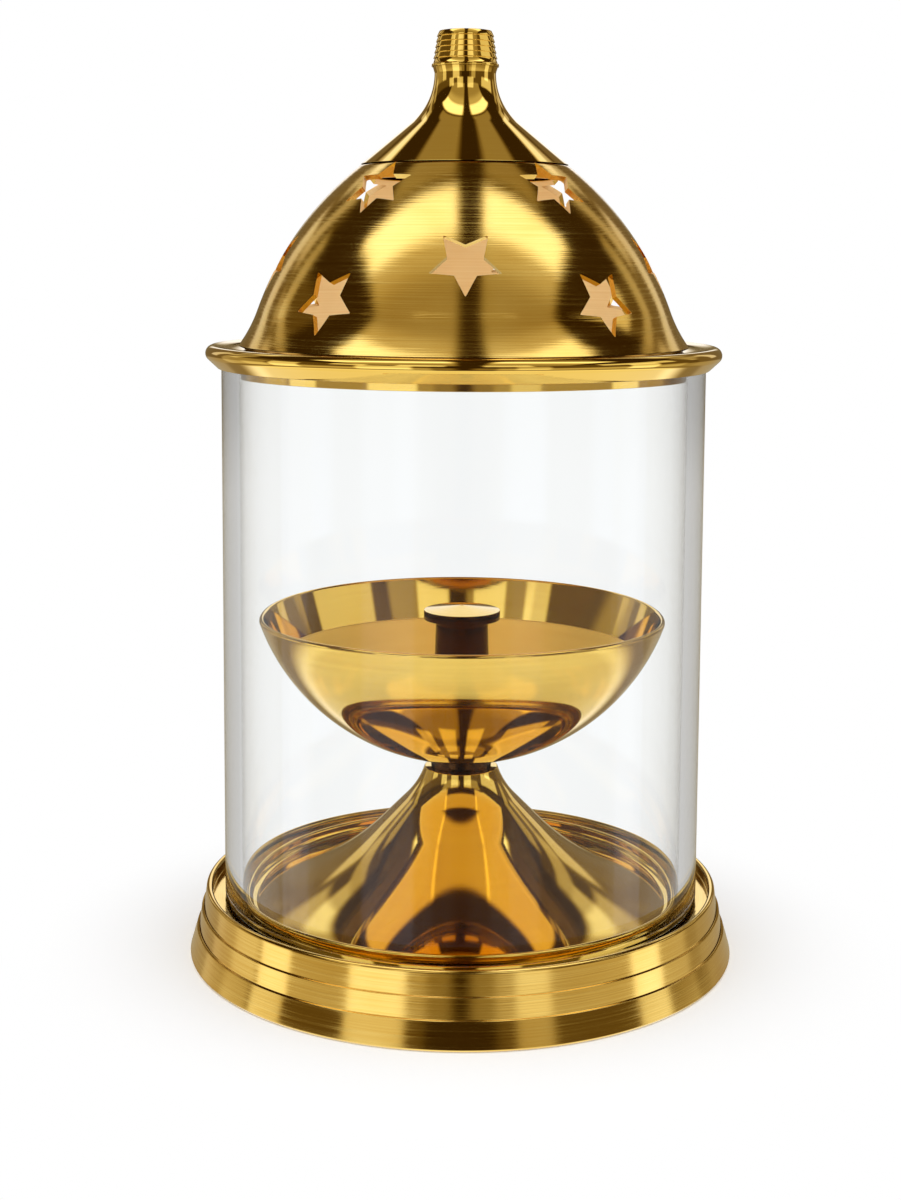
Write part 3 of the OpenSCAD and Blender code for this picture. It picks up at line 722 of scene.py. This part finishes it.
# %% Spire
NECK_R = 5.25
SPIRE_H = 16.5
SPIRE_FLARE_R = 11
SPIRE_PROUD = 0.2
SPIRE_SPIGOT_H = 2.5
SPIGOT_PLAY = 0.1
SCREW_HOLE_R = 2.2
KNOB_Z = SEAM[1] + SPIRE_H
NECK_Z = KNOB_Z - 1.0
PLATE_Z = KNOB_Z - 1.6
spire_edge = (SEAM[0] + SPIRE_PROUD, SEAM[1])
spire_flare_c = (NECK_R + SPIRE_FLARE_R, NECK_Z)
spire_slope = (180 - math.degrees(math.asin(SPIRE_FLARE_R / math.dist(spire_edge, spire_flare_c)))
               - angle_to(spire_edge, spire_flare_c))
plate_angle = 180 + math.degrees(math.asin((NECK_Z - PLATE_Z) / (SPIRE_FLARE_R + WALL)))
spigot_out_r = seam_hole_r - SPIGOT_PLAY
plug_low_z = SEAM[1] - SPIRE_SPIGOT_H
cone_end = on_circle(spire_flare_c, SPIRE_FLARE_R + WALL, 270 - spire_slope)
cone_out = spigot_out_r - WALL - cone_end[0]
spigot_in_z = cone_end[1] - cone_out * math.tan(math.radians(spire_slope))

section = Section("lid_spire_spun", spigot_out_r - WALL, plug_low_z)
section.lines((spigot_out_r, plug_low_z), (spigot_out_r, SEAM[1]), spire_edge)
section.line(*on_circle(spire_flare_c, SPIRE_FLARE_R, 270 - spire_slope))
section.arc(spire_flare_c, spire_slope - 90, 36)
section.lines((NECK_R + 0.3, KNOB_Z), (SCREW_HOLE_R, KNOB_Z), (SCREW_HOLE_R, PLATE_Z))
section.line(*on_circle(spire_flare_c, SPIRE_FLARE_R + WALL, plate_angle))
section.arc(spire_flare_c, 270 - spire_slope - plate_angle, 36)
section.line(spigot_out_r - WALL, spigot_in_z)
section.close()
spire = section.turn(192)
soften(spire, 0.12)
place(spire, polished_brass, "lid", "polished_brass", "lid_spire")

# %% Knob
KNOB_H = 6.0
KNOB_R = 5.75
KNOB_TOP_R = 4.75
KNOB_BAND_H = 0.45
KNOB_ROOF = 1.5
THREAD_R = 2.05
RIBS = 6
RIB_CUT = 0.25
knob_top_z = KNOB_Z + KNOB_H
thread_top_z = knob_top_z - KNOB_ROOF
rib_low_z = KNOB_Z + KNOB_BAND_H
rib_h = (knob_top_z - rib_low_z) / RIBS
rib_base_r = KNOB_R - RIB_CUT / 2
rib_taper = (rib_base_r - KNOB_TOP_R) / RIBS
section = Section("lid_knob_turned", 0, thread_top_z)
section.lines((THREAD_R, thread_top_z), (THREAD_R, KNOB_Z), (KNOB_R, KNOB_Z), (KNOB_R, rib_low_z))
for rib in range(RIBS):
    section.line(rib_base_r - rib * rib_taper, rib_low_z + rib * rib_h)
    section.line(rib_base_r - (rib + 1) * rib_taper - RIB_CUT, rib_low_z + (rib + 1) * rib_h)
section.line(0, knob_top_z)
knob = section.turn(128)
soften(knob, 0.08)
place(knob, polished_brass, "lid", "polished_brass", "lid_knob")


# %% [markdown]
# ## Studio
# Polished metal has hardly a colour of its own: it shows the room. A product studio gives it a wide soft
# light that arches over the camera, a dark gap in the middle where the camera stands, darker sides with a
# few bright strips, and white paper below and behind. Real panels could stand around the lamp, but they
# would show through the glass, so the room is painted in the world by direction. Only a ray that has bounced
# off metal or glass sees the painting. The camera itself, also through the glass, sees plain white.

# %% Directions in the room
GAP_SIDEWAYS = 2.5
world = bpy.data.worlds.new("studio")
bpy.context.scene.world = world
world.use_nodes = True
room = world.node_tree
room.nodes.clear()
facing = add_node(room, "ShaderNodeTexCoord").outputs["Generated"]
to_right, to_back, to_top = add_node(room, "ShaderNodeSeparateXYZ", {0: facing}).outputs
to_front = add_node(room, "ShaderNodeMath", {0: to_back, 1: -1.0}, operation="MULTIPLY").outputs[0]
around = add_node(room, "ShaderNodeMath", {0: to_right, 1: to_front}, operation="ARCTAN2").outputs[0]
either_side = add_node(room, "ShaderNodeMath", {0: around}, operation="ABSOLUTE").outputs[0]
height = add_node(room, "ShaderNodeMath", {0: to_top}, operation="ARCSINE").outputs[0]
over = add_node(room, "ShaderNodeMath", {0: to_top, 1: to_front}, operation="ARCTAN2").outputs[0]
sideways = add_node(room, "ShaderNodeMath", {0: to_right}, operation="ARCSINE").outputs[0]
either_way = add_node(room, "ShaderNodeMath", {0: sideways}, operation="ABSOLUTE").outputs[0]
from_gap = add_node(room, "ShaderNodeMath", {0: sideways, 1: math.radians(GAP_SIDEWAYS)},
                    operation="SUBTRACT").outputs[0]
off_middle = add_node(room, "ShaderNodeMath", {0: from_gap}, operation="ABSOLUTE").outputs[0]
print("directions: around, up from the table, over the lamp from front to back, and sideways")


# %% Painting with panels
def between_angles(angle, low, high, soft):
    """1 where the angle is between low and high degrees, fading to 0 over soft degrees outside."""
    rising = add_node(room, "ShaderNodeMapRange", {
        0: angle, 1: math.radians(low - soft), 2: math.radians(low), 3: 0.0, 4: 1.0},
        interpolation_type="SMOOTHSTEP")
    falling = add_node(room, "ShaderNodeMapRange", {
        0: angle, 1: math.radians(high), 2: math.radians(high + soft), 3: 1.0, 4: 0.0},
        interpolation_type="SMOOTHSTEP")
    within = add_node(room, "ShaderNodeMath", {0: rising.outputs[0], 1: falling.outputs[0]},
                      operation="MULTIPLY")
    return within.outputs[0]


def lit_by(unlit, *panels):
    """Adds up panels. Each is a light, and limits: an angle with its low, high and soft degrees."""
    total = unlit
    for light, *limits in panels:
        for limit in limits:
            light = add_node(room, "ShaderNodeMath", {0: light, 1: between_angles(*limit)},
                             operation="MULTIPLY").outputs[0]
        total = add_node(room, "ShaderNodeMath", {0: total, 1: light}, operation="ADD").outputs[0]
    return total


# %% The room as a first reflection
UNLIT = 0.04
beside_camera = (off_middle, 7.5, 200, 4)
overhead_wide = (either_way, -1, 41, 4)
low_wall = (height, -20, 16, 3)
overhead_arch = (
    (0.36, (over, 30, 90, 4), (height, 28, 95, 4), overhead_wide, beside_camera),
    (0.26, (over, 64, 150, 16), (over, 0, 91, 4), overhead_wide, beside_camera),
    (0.95, (over, 73, 90, 6), overhead_wide, beside_camera),
    (0.30, (over, 100, 140, 6), (height, 61, 95, 4), beside_camera),
)
back_strips = (
    (0.06, (either_side, 126, 190, 4), (height, -20, 40, 4)),
    (0.40, (either_side, 121, 125, 3), (height, 14, 32, 4)),
    (0.45, (either_side, 133, 137, 3), (height, 24, 40, 5)),
    (0.60, (either_side, 141, 147, 3), (height, 6, 23, 4)),
    (0.55, (either_side, 147, 153, 3), (height, 31, 40, 4)),
    (1.00, (either_side, 169, 190, 4), (height, 8, 36, 5)),
    (0.60, (either_side, 140, 160, 3), (height, 37, 41, 3)),
)
front_strips = (
    (0.75, (either_side, 10, 29, 3), (height, 18, 33, 3)),
    (0.80, (around, -60, -46, 3), (height, 18, 28, 3)),
    (0.75, (around, 64, 106, 3), (height, 16, 27, 3)),
)
low_walls = (
    (0.09, (either_side, 16, 190, 3), (height, -20, 26, 4)),
    (0.24, (either_side, 16, 190, 4), (height, -36, -8, 4)),
    (0.25, (either_side, 7, 110, 6), (height, -20, -3, 4)),
    (0.78, (around, -46, -24, 3), low_wall),
    (0.42, (around, 24, 36, 3), low_wall),
    (0.76, (either_side, 78, 92, 3), low_wall),
    (0.25, (around, -130, -98, 4), low_wall),
)
paper_below = (1.00, (height, -95, -36, 8))
once = lit_by(UNLIT, *overhead_arch, *back_strips, *front_strips, *low_walls, paper_below)
print("nodes in the room, with what a first mirror shows:", len(room.nodes))

# %% [markdown]
# Brass that mirrors brass shows the room a second time, from between the pieces: the arch low on the pedestal
# and the dark round under the bowl. From there the low walls are wider and brighter. A ray knows how often it
# has been mirrored, so it can be given a simpler painting the second time.

# %% The room as a second reflection
again = lit_by(
    UNLIT,
    (1.00, (either_side, 42, 118, 6), (height, -23, 18, 6)),
    (0.80, (either_side, -1, 40, 5), (height, -21, -1, 7)),
    (0.35, (either_side, 60, 100, 5), (height, 20, 40, 5)),
    (1.00, (height, -95, -58, 8)),
)
rays = add_node(room, "ShaderNodeLightPath")
bounces = rays.outputs["Glossy Depth"]
twice = add_node(room, "ShaderNodeMath", {0: bounces, 1: 1.5}, operation="GREATER_THAN").outputs[0]
low_again = add_node(room, "ShaderNodeMath", {0: twice, 1: between_angles(height, -95, 18, 6)},
                     operation="MULTIPLY").outputs[0]
lit = add_node(room, "ShaderNodeMix", {0: low_again, 2: once, 3: again}).outputs[0]
print("nodes in the room, with what a second mirror shows:", len(room.nodes))

# %% [markdown]
# The painting is a little warmer where it is dark, as brass lit by brass is. A ray that is mirrored inside
# the glass wall sees it paler and without colour, so that the glass stays clear. Light that falls on matt
# surfaces comes from a plain white room.

# %% What each ray sees
GREEN_FALL = 1.18
BLUE_FALL = 1.65
PAINT_IN_GLASS = 0.6
MATT_LIGHT = 0.9
greener = add_node(room, "ShaderNodeMath", {0: lit, 1: GREEN_FALL}, operation="POWER").outputs[0]
bluer = add_node(room, "ShaderNodeMath", {0: lit, 1: BLUE_FALL}, operation="POWER").outputs[0]
warm = add_node(room, "ShaderNodeCombineColor", {0: lit, 1: greener, 2: bluer}).outputs[0]
pale = add_node(room, "ShaderNodeMath", {0: lit, 1: PAINT_IN_GLASS, 2: 1 - PAINT_IN_GLASS},
                operation="MULTIPLY_ADD").outputs[0]
inside_glass = add_node(room, "ShaderNodeMath", {0: rays.outputs["Transmission Depth"], 1: 2.0, 2: 1.2},
                        operation="COMPARE").outputs[0]
room_colour = add_node(room, "ShaderNodeMix", {0: inside_glass, 6: warm, 7: pale}, data_type="RGBA")
painted = add_node(room, "ShaderNodeBackground", {"Color": room_colour.outputs[2], "Strength": 1.0})
plain = add_node(room, "ShaderNodeBackground", {"Color": colour("#FFFFFF"), "Strength": 1.0})
dimmed = add_node(room, "ShaderNodeBackground", {"Color": colour("#FFFFFF"), "Strength": MATT_LIGHT})
unmirrored = add_node(room, "ShaderNodeMixShader", {
    0: rays.outputs["Is Diffuse Ray"], 1: plain.outputs[0], 2: dimmed.outputs[0]})
mirrored = add_node(room, "ShaderNodeMath", {0: bounces, 1: 0.5}, operation="GREATER_THAN")
seen = add_node(room, "ShaderNodeMixShader", {
    0: mirrored.outputs[0], 1: unmirrored.outputs[0], 2: painted.outputs[0]})
add_node(room, "ShaderNodeOutputWorld", {0: seen.outputs[0]})
world.cycles.sampling_method = "NONE"
print("nodes in the finished room:", len(room.nodes))

# %% [markdown]
# ### Lamps
# Two softboxes give the paper its soft shadow. A shadow ray stops at the glass, so the light that would come
# through it is stood in for by two weak discs inside the chimney: one lights the inside of the lid, which
# shows through the stars, and one the bowl's floor. The lamps themselves don't show in brass or glass.

# %% Softboxes
SOFTBOX_SIDE = 66
SOFTBOX_UP = 62
SOFTBOX_AWAY_M = 0.9
SOFTBOX_SIZE_M = (0.75, 0.55)
SOFTBOX_WATTS = 2.2
aim = Vector((0, 0, 80 * MM))


def hide_lamp(lamp):
    lamp.visible_camera = False
    lamp.visible_glossy = False
    lamp.visible_transmission = False
    print(f"{lamp.name}: {lamp.data.energy:.3f} W")


for name, side in (("softbox_left", -SOFTBOX_SIDE), ("softbox_right", SOFTBOX_SIDE)):
    a = math.radians(side)
    e = math.radians(SOFTBOX_UP)
    outward = Vector((math.sin(a) * math.cos(e), -math.cos(a) * math.cos(e), math.sin(e)))
    bpy.ops.object.light_add(type="AREA", location=aim + SOFTBOX_AWAY_M * outward)
    lamp = bpy.context.object
    lamp.name = name
    lamp.data.shape = "RECTANGLE"
    lamp.data.size, lamp.data.size_y = SOFTBOX_SIZE_M
    lamp.data.energy = SOFTBOX_WATTS
    lamp.rotation_euler = outward.to_track_quat("Z", "Y").to_euler()
    hide_lamp(lamp)

# %% Light inside the chimney
UPWARD = math.pi
DOWNWARD = 0
for name, height_mm, wide_mm, turned, watts in (
    ("light_into_lid", 99, 70, UPWARD, 0.012),
    ("light_into_bowl", 82, 60, DOWNWARD, 0.014),
):
    bpy.ops.object.light_add(type="AREA", location=(0, 0, height_mm * MM), rotation=(turned, 0, 0))
    lamp = bpy.context.object
    lamp.name = name
    lamp.data.shape = "DISK"
    lamp.data.size = wide_mm * MM
    lamp.data.energy = watts
    hide_lamp(lamp)

# %% [markdown]
# ### Paper
# The floor is white paper. Close to the lamp it is an ordinary matt surface, so it takes the soft shadow, and
# farther out it fades to the same white as the background. A mirrored ray passes through it to the painted
# room, which is white paper there too.

# %% Floor
PAPER_M = 6
SHADOW_FROM_M = 0.04
SHADOW_TO_M = 0.08
bpy.ops.object.select_all(action="DESELECT")
bpy.ops.mesh.primitive_plane_add(size=PAPER_M)
floor = bpy.context.object
floor.name = "paper_floor"
bpy.ops.object.mode_set(mode="EDIT")
bpy.ops.mesh.subdivide(number_cuts=4)
bpy.ops.object.mode_set(mode="OBJECT")
paper, tree, output = new_material("white_paper")
place_in = add_node(tree, "ShaderNodeTexCoord").outputs["Object"]
from_lamp = add_node(tree, "ShaderNodeVectorMath", {0: place_in}, operation="LENGTH").outputs["Value"]
far_off = add_node(tree, "ShaderNodeMapRange", {
    0: from_lamp, 1: SHADOW_FROM_M, 2: SHADOW_TO_M, 3: 0.0, 4: 1.0}, interpolation_type="SMOOTHSTEP")
paper_rays = add_node(tree, "ShaderNodeLightPath").outputs
seen_by = add_node(tree, "ShaderNodeMath", {
    0: paper_rays["Is Camera Ray"], 1: paper_rays["Is Transmission Ray"]}, operation="MAXIMUM")
whiteness = add_node(tree, "ShaderNodeMath", {0: far_off.outputs[0], 1: seen_by.outputs[0]},
                     operation="MULTIPLY")
matt = add_node(tree, "ShaderNodeBsdfDiffuse", {"Color": colour("#F4F4F4")})
white = add_node(tree, "ShaderNodeEmission", {"Color": colour("#FFFFFF"), "Strength": 1.0})
sheet = add_node(tree, "ShaderNodeMixShader", {
    0: whiteness.outputs[0], 1: matt.outputs[0], 2: white.outputs[0]})
mirrored = add_node(tree, "ShaderNodeMath", {0: paper_rays["Glossy Depth"], 1: 0.5},
                    operation="GREATER_THAN")
passed = add_node(tree, "ShaderNodeBsdfTransparent")
paper_seen = add_node(tree, "ShaderNodeMixShader", {
    0: mirrored.outputs[0], 1: sheet.outputs[0], 2: passed.outputs[0]})
tree.links.new(paper_seen.outputs[0], output.inputs[0])
floor.data.materials.append(paper)
print("paper floor:", PAPER_M, "m wide, in", paper.name)

# %% [markdown]
# ## Camera
# The photograph was taken close up, from above the middle of the lamp and a little downwards, with the
# picture framed low of the lens's axis. The picture is 901 by 1200 pixels.

# %% Camera
PICTURE_H = 1200
FOCAL_PX = 1864.2
SENSOR_MM = 36
LENS_AT_MM = Vector((-2.17, -323.16, 123.04))
TILT_DOWN = 6.314
ROLL = 0.31
FRAME_SHIFT = -0.12
bpy.ops.object.camera_add()
camera = bpy.context.object
camera.data.sensor_fit = "VERTICAL"
camera.data.sensor_height = SENSOR_MM
camera.data.lens = SENSOR_MM * FOCAL_PX / PICTURE_H
camera.data.shift_y = FRAME_SHIFT
camera.data.clip_start = 0.01
camera.matrix_world = (
    Matrix.Translation(LENS_AT_MM * MM)
    @ Matrix.Rotation(math.radians(90 - TILT_DOWN), 4, "X")
    @ Matrix.Rotation(math.radians(ROLL), 4, "Z"))
bpy.context.scene.camera = camera
bpy.context.scene.view_settings.view_transform = "Standard"
print(f"camera: lens {camera.data.lens:.1f} mm, {-LENS_AT_MM.y:.0f} mm in front of the lamp's axis")
